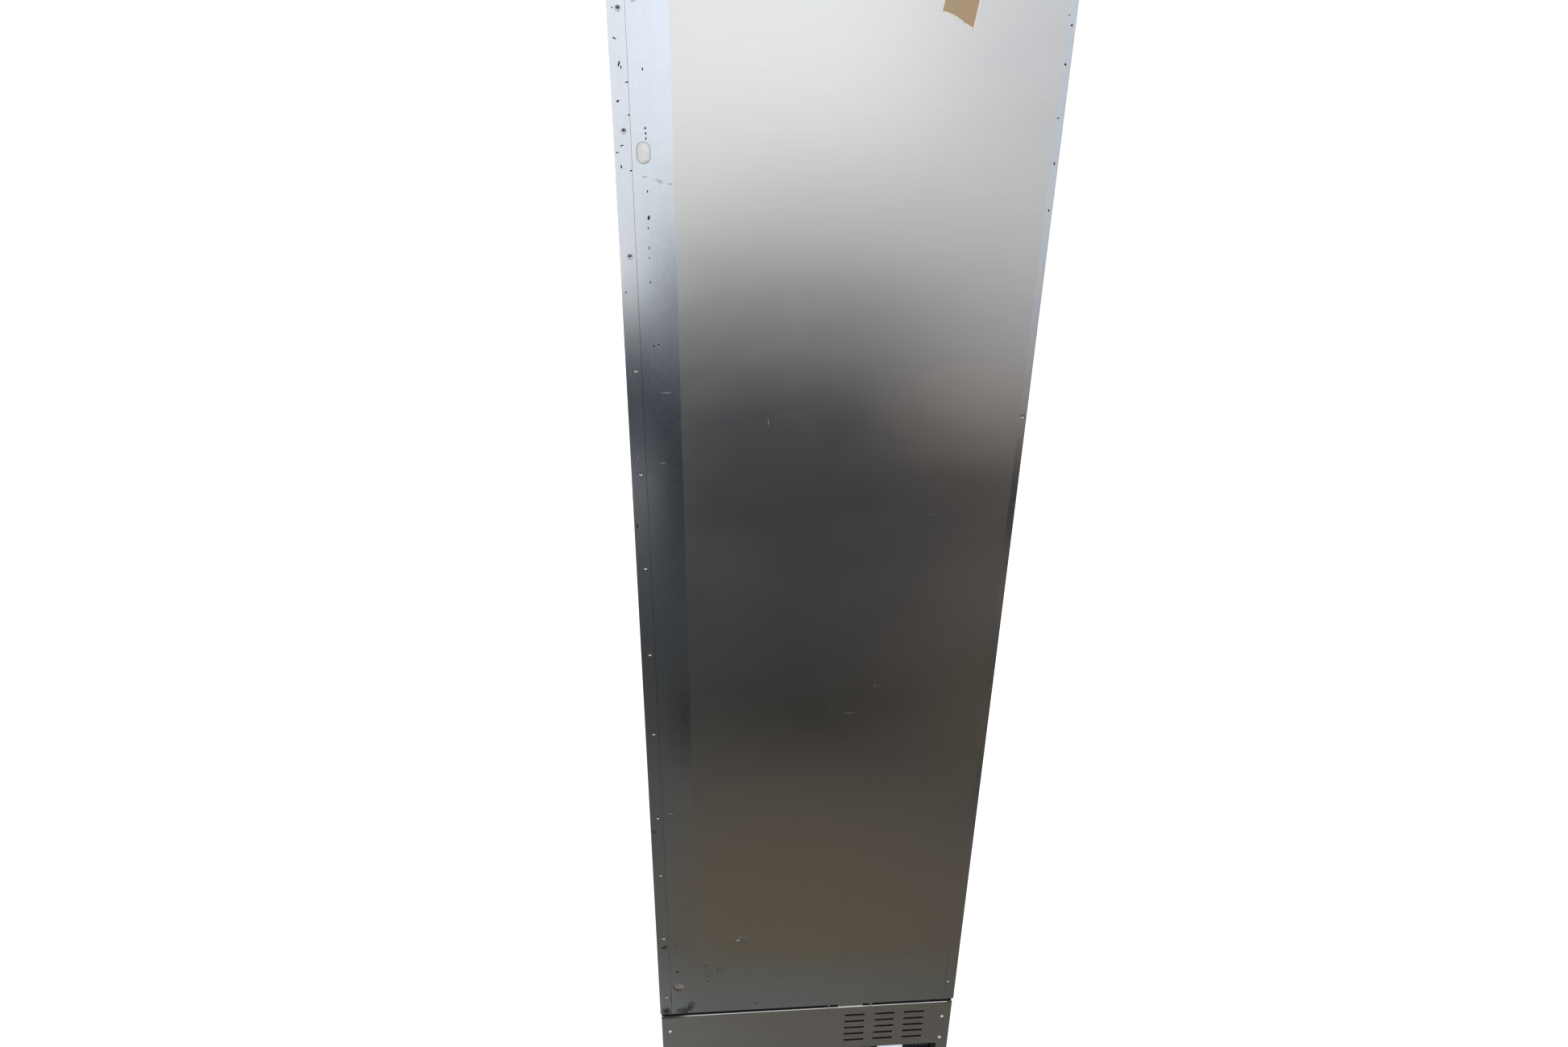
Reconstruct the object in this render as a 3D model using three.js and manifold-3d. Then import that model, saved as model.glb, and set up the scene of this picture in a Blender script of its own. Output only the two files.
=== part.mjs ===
// Insulated steel wall panel of a built-in column with its vented kick plate and base frame.
// Millimetres, +X right, +Y from the front face to the back, +Z up. Sections are drawn with
// y = 0 on the front face of the wall; the last group moves the middle of the depth to y = 0.

import * as THREE from "three";
import { mergeVertices } from "three/addons/utils/BufferGeometryUtils.js";
import Module from "manifold-3d";

const wasm = await Module();
wasm.setup();

// ---- driving dimensions -------------------------------------------------------------------

const WIDTH = 610; // the wall, side to side
const HEIGHT = 2134; // floor to the top of the wall
const WALL_FOOT = 201.5; // lower edge of the wall
const WALL_DEPTH = 60;
const BASE_DEPTH = 300;
const HALF = WIDTH / 2;

const SHEET = 1; // galvanized sheet of the wall
const CLEAR = 0.3; // gap between parts that are cut to each other
const BEND = 2; // outside radius of the folded corners
const LEFT_SEAM = -282; // inner edges of the corner flanges on the front
const RIGHT_SEAM = 283;
const JOGGLE = 1.2; // step that takes the skin under the flanges
const SEAM_GAP = 0.55; // width of the open seam beside each flange
const JOGGLE_REACH = 300; // how far from the middle the joggled edges reach
const RETURN_EDGE = 293; // inner edge of the flanges' rear returns
const RAIL_TOP_GAP = 30; // the screw rails stop this far from both ends of the wall

const FACING = { left: -226, right: 293, foot: 339.5, top: 2122, thickness: 0.8 };

const FLANGE_SCREW = { x: -290.5, top: 2051.5, second: 1905.4, pitch: 165.3, count: 12 };
const LOW_SCREW = { place: 8, drop: 25 }; // the ninth screw sits below its even pitch
const RIGHT_SCREWS = { lower: [288.5, 254.4], upper: [298, 1495] };
const HEAD_R = 3.1; // head and shank of a flange screw
const SHANK_R = 1.5;
const DISH = { rim_y: 0.45, rim: 0.35, floor_y: 1.7, floor_r: 0.9, socket: 1.2, socket_y: 2.6 };

const OVAL_HOLE = { x: -265.8, z: 1878, width: 18.6, height: 28.8 };
const ROUND_HOLE = { x: -266, z: 278, r: 11 };
const PLUG_DEPTH = 12;
const PLUG_CLEAR = 0.5; // gap round each plug

const KICK = { left: -303, right: 302.5, foot: 22, top: 192.9, thickness: 1.2, side_return: 11 };
const HEM = { thickness: 2.6, height: 9 };
const SLOT = { length: 45, height: 5.2, first_x: 75.2, pitch_x: 63, columns: 3 };
const SLOT_ROWS = { top: 167.6, pitch: 19, count: 5 };
const NOTCH = { left: 104, right: 278, top: 66.5, corner: 3 };
const TONGUE = { left: 61.5, right: 113.5, top: 209 };
const NIBS = [[40, 44.6], [125.6, 134]]; // short stops on the hem, on both sides of the tongue
const NIB_TOP = 200.9;
const KICK_SCREW_Z = { upper: 147, lower: 82.2 };
const KICK_SCREW_X = { left: -286.7, right: 284.8 };
const KICK_SCREW = { head_r: 3.6, head_h: 2.4, shank_r: 2, length: 12 };

const BASE_HALF = 297.5; // half width of the base frame
const RUNNER = { width: 30, foot: 12, top: 30, wall: 2 };
const POST = { leg: 30, cheek: 130, thickness: 1.5, front: 2.9, top: 200 };
const PAN = { top: 31.5, front: 8, back: 294, half: 295.5, thickness: 1.5, lip: 10 };
const DECK = { front: 8, thickness: 1.5 };
const LUG = { inner: 297.8, reach: 303, depth: 12, foot: 185.5 }; // front corners of the deck
const FOOT_PLACE = { x: 282.5, front: 26, back: 272 };
const FOOT = { pad_r: 22, pad_h: 8, neck_r: 10, neck_top: 11.5, stud_r: 6, top: 62 };
const STUD_HOLE_R = 6.6;
const NUT = { across: 17, height: 8 };
const HOUSING = { left: 210, right: 274, front: 12, back: 74, top: 60, rib: 3, rib_pitch: 8, proud: 2 };
const GUSSET = { outer: 292, inner: 268, thickness: 1.5, back: 270, top: 520, nose: 22 };

// ---- materials ----------------------------------------------------------------------------

function finish(color, roughness, metalness) {
  return new THREE.MeshStandardMaterial({ color, roughness, metalness });
}

const galvanized = finish(0xb4bcc4, 0.3, 0.9);
const brushed = finish(0xa8a59f, 0.35, 0.9);
const stainless = finish(0xb9b8b4, 0.3, 0.95);
const frame_steel = finish(0x8f9296, 0.5, 0.8);
const zinc = finish(0xc8d2dc, 0.25, 0.95);
const black_coat = finish(0x1b1c1f, 0.45, 0.1);
const liner_white = finish(0xe8e8e4, 0.5, 0);
const foam = finish(0xe6d9b4, 0.9, 0);
const off_white = finish(0xdedbd2, 0.8, 0);
const paper = finish(0xb79a72, 0.85, 0);
const dark_plastic = finish(0x24262a, 0.6, 0);

// ---- shape helpers ------------------------------------------------------------------------

const AXIS = {
  x: new THREE.Vector3(1, 0, 0),
  y: new THREE.Vector3(0, 1, 0),
  z: new THREE.Vector3(0, 0, 1),
};

function arc(cx, cy, r, from, to, steps) {
  const points = [];
  for (let i = 0; i <= steps; i += 1) {
    const a = THREE.MathUtils.degToRad(from + ((to - from) * i) / steps);
    points.push([cx + r * Math.cos(a), cy + r * Math.sin(a)]);
  }
  return points;
}

function outline(points) {
  return new THREE.Shape(points.map(([a, b]) => new THREE.Vector2(a, b)));
}

function extrude(shape, length) {
  return new THREE.ExtrudeGeometry(shape, { depth: length, bevelEnabled: false });
}

// A section drawn in (y, z), run from x0 to x1.
function alongX(points, x0, x1) {
  const turn = new THREE.Matrix4().makeBasis(AXIS.y, AXIS.z, AXIS.x);
  return extrude(outline(points), x1 - x0).applyMatrix4(turn).translate(x0, 0, 0);
}

// A shape drawn in (x, z), run from y0 to y1.
function alongY(shape, y0, y1) {
  const turn = new THREE.Matrix4().makeBasis(AXIS.x, AXIS.z, AXIS.y.clone().negate());
  return extrude(shape, y1 - y0).applyMatrix4(turn).translate(0, y1, 0);
}

// A section drawn in (x, y), run from z0 to z1.
function alongZ(points, z0, z1) {
  return extrude(outline(points), z1 - z0).translate(0, 0, z0);
}

function slab(x0, x1, y0, y1, z0, z1) {
  const box = new THREE.BoxGeometry(x1 - x0, y1 - y0, z1 - z0);
  return box.translate((x0 + x1) / 2, (y0 + y1) / 2, (z0 + z1) / 2);
}

// A round bar or cone along Y, from y0 with radius r0 to y1 with radius r1.
function barY(x, z, y0, r0, y1, r1 = r0, sides = 20) {
  const bar = new THREE.CylinderGeometry(r1, r0, y1 - y0, sides);
  return bar.translate(x, (y0 + y1) / 2, z);
}

function barZ(x, y, z0, z1, r, sides = 24) {
  const turn = new THREE.Matrix4().makeBasis(AXIS.y, AXIS.z, AXIS.x);
  const bar = new THREE.CylinderGeometry(r, r, z1 - z0, sides).applyMatrix4(turn);
  return bar.translate(x, y, (z0 + z1) / 2);
}

// A turned piece: the profile is a list of [radius, height] from one end of its axis to the other.
function turned(profile, sides) {
  const points = profile.map(([r, h]) => new THREE.Vector2(r, h));
  return new THREE.LatheGeometry(points, sides);
}

function solid(geometry) {
  const plain = geometry.clone();
  plain.deleteAttribute("normal");
  plain.deleteAttribute("uv");
  const merged = mergeVertices(plain, 1e-4);
  const vertProperties = new Float32Array(merged.attributes.position.array);
  const triVerts = new Uint32Array(merged.index.array);
  return new wasm.Manifold(new wasm.Mesh({ numProp: 3, vertProperties, triVerts }));
}

function combine(base, added, cut = []) {
  let body = solid(base);
  for (const piece of added) {
    body = body.add(solid(piece));
  }
  for (const piece of cut) {
    body = body.subtract(solid(piece));
  }
  const mesh = body.getMesh();
  const geometry = new THREE.BufferGeometry();
  geometry.setAttribute("position", new THREE.BufferAttribute(new Float32Array(mesh.vertProperties), 3));
  geometry.setIndex(new THREE.BufferAttribute(new Uint32Array(mesh.triVerts), 1));
  return geometry;
}

const assembly = new THREE.Group();

function part(name, geometry, material) {
  const mesh = new THREE.Mesh(geometry, material);
  mesh.name = name;
  assembly.add(mesh);
  return mesh;
}

// ---- wall: flanges, skin, facing, core and liner ------------------------------------------

// C-shaped corner: front flange up to the seam, full-depth side, short rear return.
function cornerSection(side, seam) {
  const inside = HALF - BEND;
  const edge = Math.abs(seam);
  const back = WALL_DEPTH;
  const points = [
    [edge, 0],
    ...arc(inside, BEND, BEND, -90, 0, 5),
    ...arc(inside, back - BEND, BEND, 0, 90, 5),
    [RETURN_EDGE, back],
    [RETURN_EDGE, back - SHEET],
    ...arc(inside, back - BEND, BEND - SHEET, 90, 0, 4),
    ...arc(inside, BEND, BEND - SHEET, 0, -90, 4),
    [edge, SHEET],
  ];
  return points.map(([x, y]) => [side * x, y]);
}

function leftScrewHeights() {
  const heights = [FLANGE_SCREW.top];
  for (let i = 0; i < FLANGE_SCREW.count - 1; i += 1) {
    heights.push(FLANGE_SCREW.second - i * FLANGE_SCREW.pitch);
  }
  heights[LOW_SCREW.place] -= LOW_SCREW.drop;
  return heights;
}

const LEFT_PLACES = leftScrewHeights().map((z) => [FLANGE_SCREW.x, z]);
const RIGHT_PLACES = [RIGHT_SCREWS.upper, RIGHT_SCREWS.lower];

function countersinks(places) {
  return places.map(([x, z]) => barY(x, z, -1, HEAD_R + 1, SHEET + 1, HEAD_R + 0.3));
}

function skinHoles(places) {
  return places.map(([x, z]) => barY(x, z, SHEET, HEAD_R + 0.5, JOGGLE + SHEET + 0.4, HEAD_R - 0.7));
}

function railHoles(places) {
  return places.map(([x, z]) => barY(x, z, SHEET, SHANK_R + 0.4, WALL_DEPTH / 2, SHANK_R + 0.4, 12));
}

function cornerFlange(side, seam, places) {
  return combine(alongZ(cornerSection(side, seam), WALL_FOOT, HEIGHT), [], countersinks(places));
}

function stadium(x, z, width, height, steps = 10) {
  const r = width / 2;
  const rise = height / 2 - r;
  return outline([...arc(x, z + rise, r, 0, 180, steps), ...arc(x, z - rise, r, 180, 360, steps)]);
}

function outerSkin() {
  const under = JOGGLE + SHEET;
  const section = [
    [-JOGGLE_REACH, JOGGLE],
    [LEFT_SEAM + SEAM_GAP / 4, JOGGLE],
    [LEFT_SEAM + SEAM_GAP, 0],
    [RIGHT_SEAM - SEAM_GAP, 0],
    [RIGHT_SEAM - SEAM_GAP / 4, JOGGLE],
    [JOGGLE_REACH, JOGGLE],
    [JOGGLE_REACH, under],
    [RIGHT_SEAM - 2 * SEAM_GAP, under],
    [RIGHT_SEAM - 3 * SEAM_GAP, SHEET],
    [LEFT_SEAM + 3 * SEAM_GAP, SHEET],
    [LEFT_SEAM + 2 * SEAM_GAP, under],
    [-JOGGLE_REACH, under],
  ];
  const oval = stadium(OVAL_HOLE.x, OVAL_HOLE.z, OVAL_HOLE.width, OVAL_HOLE.height);
  const cut = [
    ...skinHoles([...LEFT_PLACES, ...RIGHT_PLACES]),
    alongY(oval, -1, SHEET + 1),
    barY(ROUND_HOLE.x, ROUND_HOLE.z, -1, ROUND_HOLE.r, SHEET + 1, ROUND_HOLE.r, 28),
  ];
  return combine(alongZ(section, WALL_FOOT, HEIGHT), [], cut);
}

// Flat bar behind each flange that the flange screws bite into.
function screwRail(side, places) {
  const front = JOGGLE + SHEET + CLEAR;
  const x = [side * (Math.abs(LEFT_SEAM) + 1.5), side * (HALF - 3)].sort((a, b) => a - b);
  const bar = slab(x[0], x[1], front, front + 2.5, WALL_FOOT + RAIL_TOP_GAP, HEIGHT - RAIL_TOP_GAP);
  return combine(bar, [], railHoles(places));
}

function foamCore() {
  const side = HALF - SHEET - CLEAR;
  const duct = Math.abs(LEFT_SEAM) - 3; // clear corner for the rail and the screw points
  const front = SHEET + CLEAR;
  const back = WALL_DEPTH - 2 * SHEET - CLEAR;
  const shoulder = 17;
  const section = [
    [-duct, front],
    [duct, front],
    [duct, shoulder],
    [side, shoulder],
    [side, back],
    [-side, back],
    [-side, shoulder],
    [-duct, shoulder],
  ];
  const pocket = PLUG_DEPTH + 2;
  const oval = stadium(OVAL_HOLE.x, OVAL_HOLE.z, OVAL_HOLE.width, OVAL_HOLE.height);
  return combine(alongZ(section, WALL_FOOT + 24, HEIGHT - 24), [], [
    alongY(oval, -1, pocket),
    barY(ROUND_HOLE.x, ROUND_HOLE.z, -1, ROUND_HOLE.r, pocket, ROUND_HOLE.r, 28),
  ]);
}

// Rear sheet with pressed vertical beads, held behind the flanges' returns.
function innerLiner() {
  const front = WALL_DEPTH - 2 * SHEET - 0.1;
  const back = front + SHEET;
  const bead = { depth: 0.9, crown: 9, foot: 12 };
  const middles = [-198, -66, 66, 198];
  const bumps = middles.map((x) => [
    [x - bead.foot, 0],
    [x - bead.crown, bead.depth],
    [x + bead.crown, bead.depth],
    [x + bead.foot, 0],
  ]);
  const side = HALF - BEND - CLEAR;
  const far = bumps.flat().map(([x, rise]) => [x, back + rise]);
  const near = bumps.flat().reverse().map(([x, rise]) => [x, front + rise]);
  const section = [[-side, back], ...far, [side, back], [side, front], ...near, [-side, front]];
  return alongZ(section, WALL_FOOT + 1.5, HEIGHT - 1.5);
}

// U channel across the wall's end: the web is flush with the end, the legs reach inwards.
function endChannel(end, inward) {
  const web = 1.2;
  const leg = 20;
  const front = 3;
  const back = WALL_DEPTH - 2 * SHEET - 0.5;
  const section = [
    [front, end],
    [back, end],
    [back, end + inward * leg],
    [back - web, end + inward * leg],
    [back - web, end + inward * web],
    [front + web, end + inward * web],
    [front + web, end + inward * leg],
    [front, end + inward * leg],
  ];
  return alongX(section, -HALF + SHEET + 0.6, HALF - SHEET - 0.6);
}

// Countersunk screw along +Y. Its head is dished, with a square socket in the middle.
function flangeScrew() {
  const { rim_y, rim, floor_y, floor_r, socket, socket_y } = DISH;
  const body = turned([
    [0, floor_y],
    [floor_r, floor_y],
    [HEAD_R - rim, rim_y],
    [HEAD_R, rim_y],
    [HEAD_R, rim_y + 0.65],
    [SHANK_R, JOGGLE + SHEET + 0.2],
    [SHANK_R, 12.5],
    [0, 14.5],
  ], 20);
  const half = socket / 2;
  return combine(body, [], [slab(-half, half, 0, socket_y, -half, half)]);
}

function buildWall() {
  part("left_corner_flange", cornerFlange(-1, LEFT_SEAM, LEFT_PLACES), galvanized);
  part("right_corner_flange", cornerFlange(1, RIGHT_SEAM, RIGHT_PLACES), galvanized);
  part("outer_skin", outerSkin(), galvanized);
  const { left, right, foot, top, thickness } = FACING;
  part("facing_sheet", slab(left, right, -thickness, 0, foot, top), stainless);
  part("left_screw_rail", screwRail(-1, LEFT_PLACES), frame_steel);
  part("right_screw_rail", screwRail(1, RIGHT_PLACES), frame_steel);
  part("foam_core", foamCore(), foam);
  part("inner_liner", innerLiner(), liner_white);
  part("top_channel", endChannel(HEIGHT, -1), galvanized);
  part("bottom_channel", endChannel(WALL_FOOT, 1), galvanized);
}

function buildWallFasteners() {
  const screw = flangeScrew();
  LEFT_PLACES.forEach(([x, z], i) => {
    part(`left_flange_screw_${i + 1}`, screw.clone(), zinc).position.set(x, 0, z);
  });
  const [upper, lower] = RIGHT_PLACES;
  part("right_flange_screw_upper", screw.clone(), zinc).position.set(upper[0], 0, upper[1]);
  part("right_flange_screw_lower", screw.clone(), zinc).position.set(lower[0], 0, lower[1]);
}

function buildPlugs() {
  const gap = 2 * PLUG_CLEAR;
  const oval = stadium(OVAL_HOLE.x, OVAL_HOLE.z, OVAL_HOLE.width - gap, OVAL_HOLE.height - gap);
  part("oval_plug", alongY(oval, 0.9, PLUG_DEPTH), off_white);
  const r = ROUND_HOLE.r - PLUG_CLEAR;
  part("round_plug", barY(ROUND_HOLE.x, ROUND_HOLE.z, 1.1, r, PLUG_DEPTH, r, 28), foam);
}

// Scrap of paper tape, leaning over, with a torn lower end.
function buildTape() {
  const lean = THREE.MathUtils.degToRad(9.5);
  const rise = 2117;
  const left = [126, 2053];
  const right = [173, 2032];
  const up = ([x, z]) => [x + (rise - z) * Math.tan(lean), rise];
  const shape = outline([left, [133, 2054.5], [147, 2051], [160, 2044], right, up(right), up(left)]);
  const back = -FACING.thickness;
  part("tape_scrap", alongY(shape, back - 0.3, back), paper);
}

// ---- kick plate ---------------------------------------------------------------------------

function kickPlateOutline() {
  const { left, right, foot, top } = KICK;
  const r = NOTCH.corner;
  const shape = outline([
    [left, foot],
    [NOTCH.left, foot],
    ...arc(NOTCH.left + r, NOTCH.top - r, r, 180, 90, 4),
    ...arc(NOTCH.right - r, NOTCH.top - r, r, 90, 0, 4),
    [NOTCH.right, foot],
    [right, foot],
    [right, top - HEM.thickness],
    [left, top - HEM.thickness],
  ]);
  for (let column = 0; column < SLOT.columns; column += 1) {
    for (let row = 0; row < SLOT_ROWS.count; row += 1) {
      const start = SLOT.first_x + column * SLOT.pitch_x;
      shape.holes.push(slot(start, SLOT_ROWS.top - row * SLOT_ROWS.pitch));
    }
  }
  return shape;
}

function slot(start, z) {
  const r = SLOT.height / 2;
  const end = start + SLOT.length;
  const points = [...arc(end - r, z, r, -90, 90, 6), ...arc(start + r, z, r, 90, 270, 6)];
  return new THREE.Path(points.map(([a, b]) => new THREE.Vector2(a, b)));
}

function kickPlate() {
  const { left, right, foot, top, thickness, side_return } = KICK;
  const face = alongY(kickPlateOutline(), 0, thickness);
  const r = HEM.thickness / 2;
  const hem = alongX([
    [0, top - HEM.height],
    [HEM.thickness, top - HEM.height],
    ...arc(r, top - r, r, 0, 180, 8),
  ], left, right);
  const side_top = top - HEM.height - 2;
  const side_foot = foot + 2;
  const returns = [
    slab(left, left + thickness, 0, side_return, side_foot, side_top),
    slab(right - thickness, right, 0, side_return, side_foot, side_top),
  ];
  const tongue = slab(TONGUE.left, TONGUE.right, 1.4, HEM.thickness, top - HEM.height, TONGUE.top);
  const nibs = NIBS.map(([x0, x1]) => slab(x0, x1, 0.4, 2.2, top - 2, NIB_TOP));
  const holes = [];
  for (const x of Object.values(KICK_SCREW_X)) {
    for (const z of Object.values(KICK_SCREW_Z)) {
      holes.push(barY(x, z, -1, KICK_SCREW.shank_r + 0.5, 4));
    }
  }
  return combine(face, [hem, ...returns, tongue, ...nibs], holes);
}

// Pan-head screw along +Y: domed head in front of the plate, shank behind it.
function panScrew() {
  const { head_r, head_h, shank_r, length } = KICK_SCREW;
  const lift = 0.05;
  const body = turned([
    [0, -head_h],
    [head_r * 0.5, -head_h * 0.96],
    [head_r * 0.82, -head_h * 0.72],
    [head_r, -head_h * 0.3],
    [head_r, -lift],
    [shank_r, -lift],
    [shank_r, length - 2],
    [0, length],
  ], 20);
  const arm = 3.6;
  const web = 0.8;
  return combine(body, [], [
    slab(-arm / 2, arm / 2, -4, -head_h + 1.3, -web / 2, web / 2),
    slab(-web / 2, web / 2, -4, -head_h + 1.3, -arm / 2, arm / 2),
  ]);
}

// Sheet nut behind the post: a small plate with a round barrel.
function clipNut() {
  const front = POST.front + POST.thickness + CLEAR;
  const plate = slab(-6, 6, front, front + 1.2, -8, 8);
  const barrel = barY(0, 0, front, 3.8, front + 4, 3.8, 16);
  const bore_r = KICK_SCREW.shank_r + 0.4;
  return combine(plate, [barrel], [barY(0, 0, 0, bore_r, 20, bore_r, 16)]);
}

function buildKickPlate() {
  part("kick_plate", kickPlate(), brushed);
  const screw = panScrew();
  const nut = clipNut();
  for (const [side, x] of Object.entries(KICK_SCREW_X)) {
    for (const [level, z] of Object.entries(KICK_SCREW_Z)) {
      part(`kick_screw_${side}_${level}`, screw.clone(), zinc).position.set(x, 0, z);
      part(`clip_nut_${side}_${level}`, nut.clone(), zinc).position.set(x, 0, z);
    }
  }
}

// ---- base frame ---------------------------------------------------------------------------

// Open channel along Y under each side; the opening faces the middle.
function runner(side) {
  const outer = BASE_HALF;
  const inner = BASE_HALF - RUNNER.width;
  const { foot, top, wall } = RUNNER;
  const shape = outline([
    [side * inner, foot],
    [side * outer, foot],
    [side * outer, top],
    [side * inner, top],
    [side * inner, top - wall],
    [side * (outer - wall), top - wall],
    [side * (outer - wall), foot + wall],
    [side * inner, foot + wall],
  ]);
  const { x, front, back } = FOOT_PLACE;
  const holes = [front, back].map((y) => barZ(side * x, y, 0, 40, STUD_HOLE_R));
  return combine(alongY(shape, POST.front, BASE_DEPTH), [], holes);
}

// L-shaped corner post; facing is the sign of Y that its leg across the base looks towards. The front
// posts have a deep cheek along the side.
function post(side, facing) {
  const { leg, cheek, thickness, front, top } = POST;
  const depth = facing < 0 ? cheek : leg;
  const outer_y = facing < 0 ? front : BASE_DEPTH;
  const step = -facing;
  const section = [
    [side * BASE_HALF, outer_y],
    [side * (BASE_HALF - leg), outer_y],
    [side * (BASE_HALF - leg), outer_y + step * thickness],
    [side * (BASE_HALF - thickness), outer_y + step * thickness],
    [side * (BASE_HALF - thickness), outer_y + step * depth],
    [side * BASE_HALF, outer_y + step * depth],
  ];
  const body = alongZ(section, RUNNER.top, top);
  if (facing > 0) {
    return body;
  }
  const x = side < 0 ? KICK_SCREW_X.left : KICK_SCREW_X.right;
  const holes = Object.values(KICK_SCREW_Z).map((z) => barY(x, z, -1, 2.5, 6, 2.5, 16));
  return combine(body, [], holes);
}

function basePan() {
  const { top, front, back, half, thickness, lip } = PAN;
  const section = [
    [front, top - thickness],
    [back, top - thickness],
    [back, top + lip],
    [back - thickness, top + lip],
    [back - thickness, top],
    [front + thickness, top],
    [front + thickness, top + lip],
    [front, top + lip],
  ];
  const holes = [];
  for (const side of [-1, 1]) {
    for (const y of [FOOT_PLACE.front, FOOT_PLACE.back]) {
      holes.push(barZ(side * FOOT_PLACE.x, y, 20, 40, STUD_HOLE_R));
    }
  }
  return combine(alongX(section, -half, half), [], holes);
}

// Upright triangular brace between the deck and the back of the wall, with two fixing flanges.
function gusset(side) {
  const { outer, inner, thickness, back, top, nose } = GUSSET;
  const front = WALL_DEPTH + CLEAR;
  const face = front + thickness;
  const span = (a, b) => [side * a, side * b].sort((p, q) => p - q);
  const [web0, web1] = span(outer, outer - thickness);
  const [flange0, flange1] = span(outer, inner);
  const web = alongX([
    [front, WALL_FOOT],
    [back, WALL_FOOT],
    [back, WALL_FOOT + nose],
    [front + nose, top],
    [front, top],
  ], web0, web1);
  const foot_flange = slab(flange0, flange1, front, back, WALL_FOOT, WALL_FOOT + thickness);
  const wall_flange = slab(flange0, flange1, front, face, WALL_FOOT, top);
  return combine(web, [foot_flange, wall_flange]);
}

// Levelling foot: pad, neck and stud in one turned piece.
function foot() {
  const { pad_r, pad_h, neck_r, neck_top, stud_r, top } = FOOT;
  const body = turned([
    [0, 0],
    [pad_r - 1.5, 0],
    [pad_r, 1.5],
    [pad_r, pad_h - 2],
    [pad_r - 2.5, pad_h],
    [neck_r, pad_h],
    [neck_r, neck_top],
    [stud_r, neck_top],
    [stud_r, top - 1],
    [stud_r - 1, top],
    [0, top],
  ], 28);
  return body.applyMatrix4(new THREE.Matrix4().makeBasis(AXIS.y, AXIS.z, AXIS.x));
}

function footNut() {
  const floor = RUNNER.foot + RUNNER.wall;
  const hexagon = arc(0, 0, NUT.across / Math.sqrt(3), 30, 330, 5);
  const bore = barZ(0, 0, 0, 40, FOOT.stud_r + CLEAR);
  return combine(alongZ(hexagon, floor, floor + NUT.height), [], [bore]);
}

// Flat plate under the wall. Its front corners reach out and fold down behind the kick plate's ends.
function deck() {
  const { front, thickness } = DECK;
  const under = WALL_FOOT - thickness;
  const plate = slab(-BASE_HALF, BASE_HALF, front, BASE_DEPTH, under, WALL_FOOT);
  const lugs = [];
  for (const side of [-1, 1]) {
    const span = (a, b) => [side * a, side * b].sort((p, q) => p - q);
    const [flat0, flat1] = span(BASE_HALF - LUG.depth, LUG.reach);
    const [fold0, fold1] = span(LUG.inner, LUG.reach);
    lugs.push(slab(flat0, flat1, front, front + LUG.depth, under, WALL_FOOT));
    lugs.push(slab(fold0, fold1, front, front + thickness, LUG.foot, WALL_FOOT));
  }
  return combine(plate, lugs);
}

function buildBase() {
  for (const [name, side] of [["left", -1], ["right", 1]]) {
    part(`${name}_runner`, runner(side), black_coat);
    part(`front_${name}_post`, post(side, -1), black_coat);
    part(`rear_${name}_post`, post(side, 1), black_coat);
    part(`${name}_gusset`, gusset(side), black_coat);
    for (const place of ["front", "back"]) {
      const x = side * FOOT_PLACE.x;
      const y = FOOT_PLACE[place];
      part(`foot_${place}_${name}`, foot(), zinc).position.set(x, y, 0);
      part(`foot_nut_${place}_${name}`, footNut(), zinc).position.set(x, y, 0);
    }
  }
  part("base_pan", basePan(), black_coat);
  part("deck", deck(), black_coat);
}

// ---- pieces behind the vents and the notch ------------------------------------------------

// Sheet with a foot and a top flange, standing behind the first column of slots.
function ductPanel() {
  const t = 1.2;
  const { top: floor } = PAN;
  const top = 120;
  const front = 30;
  return alongX([
    [front, floor],
    [front + 16, floor],
    [front + 16, floor + t],
    [front + t, floor + t],
    [front + t, top - t],
    [front + 30, top - t],
    [front + 30, top],
    [front, top],
  ], -30, 102);
}

// Narrow upright that tapers downwards, close behind the left ends of the middle slots.
function bafflePost() {
  const floor = PAN.top;
  return alongY(outline([[128, floor], [137, floor], [151.5, 180], [128, 180]]), 10.5, 12);
}

// Folded bracket: foot on the pan, upright leg, and a front flap that slopes down behind the notch.
function connectionBracket() {
  const t = 1.5;
  const floor = PAN.top;
  const front = 3.5;
  const leg = 12;
  const nose = 53;
  const head = nose + leg + t - front;
  const drop = t * Math.SQRT2;
  return alongX([
    [front, nose - drop],
    [leg, nose - drop + leg - front],
    [leg, floor],
    [40, floor],
    [40, floor + t],
    [leg + t, floor + t],
    [leg + t, head],
    [front, nose],
  ], 153, 207);
}

function ribbedHousing() {
  const { left, right, front, back, top, rib, rib_pitch, proud } = HOUSING;
  const body = slab(left, right, front, back, PAN.top, top);
  const ribs = [];
  for (let x = left + rib; x < right - rib; x += rib_pitch) {
    ribs.push(slab(x, x + rib, front - proud, back - 4, PAN.top + 2, top + proud));
  }
  return combine(body, ribs);
}

function buildMachineSpace() {
  part("duct_panel", ductPanel(), frame_steel);
  part("baffle_post", bafflePost(), galvanized);
  part("connection_bracket", connectionBracket(), zinc);
  part("ribbed_housing", ribbedHousing(), dark_plastic);
}

buildWall();
buildWallFasteners();
buildPlugs();
buildTape();
buildKickPlate();
buildBase();
buildMachineSpace();

// The middle of the whole depth, from the kick plate's screw heads to the back of the base, is y = 0.
assembly.position.y = -(BASE_DEPTH - KICK_SCREW.head_h) / 2;

const model = new THREE.Group();
model.add(assembly);

export default model;
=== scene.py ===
"""Looks of the insulated wall panel with its vented kick plate. Metres, same frame as the CAD."""

import math
import random

import bmesh
import bpy
from mathutils import Matrix, Vector


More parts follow.
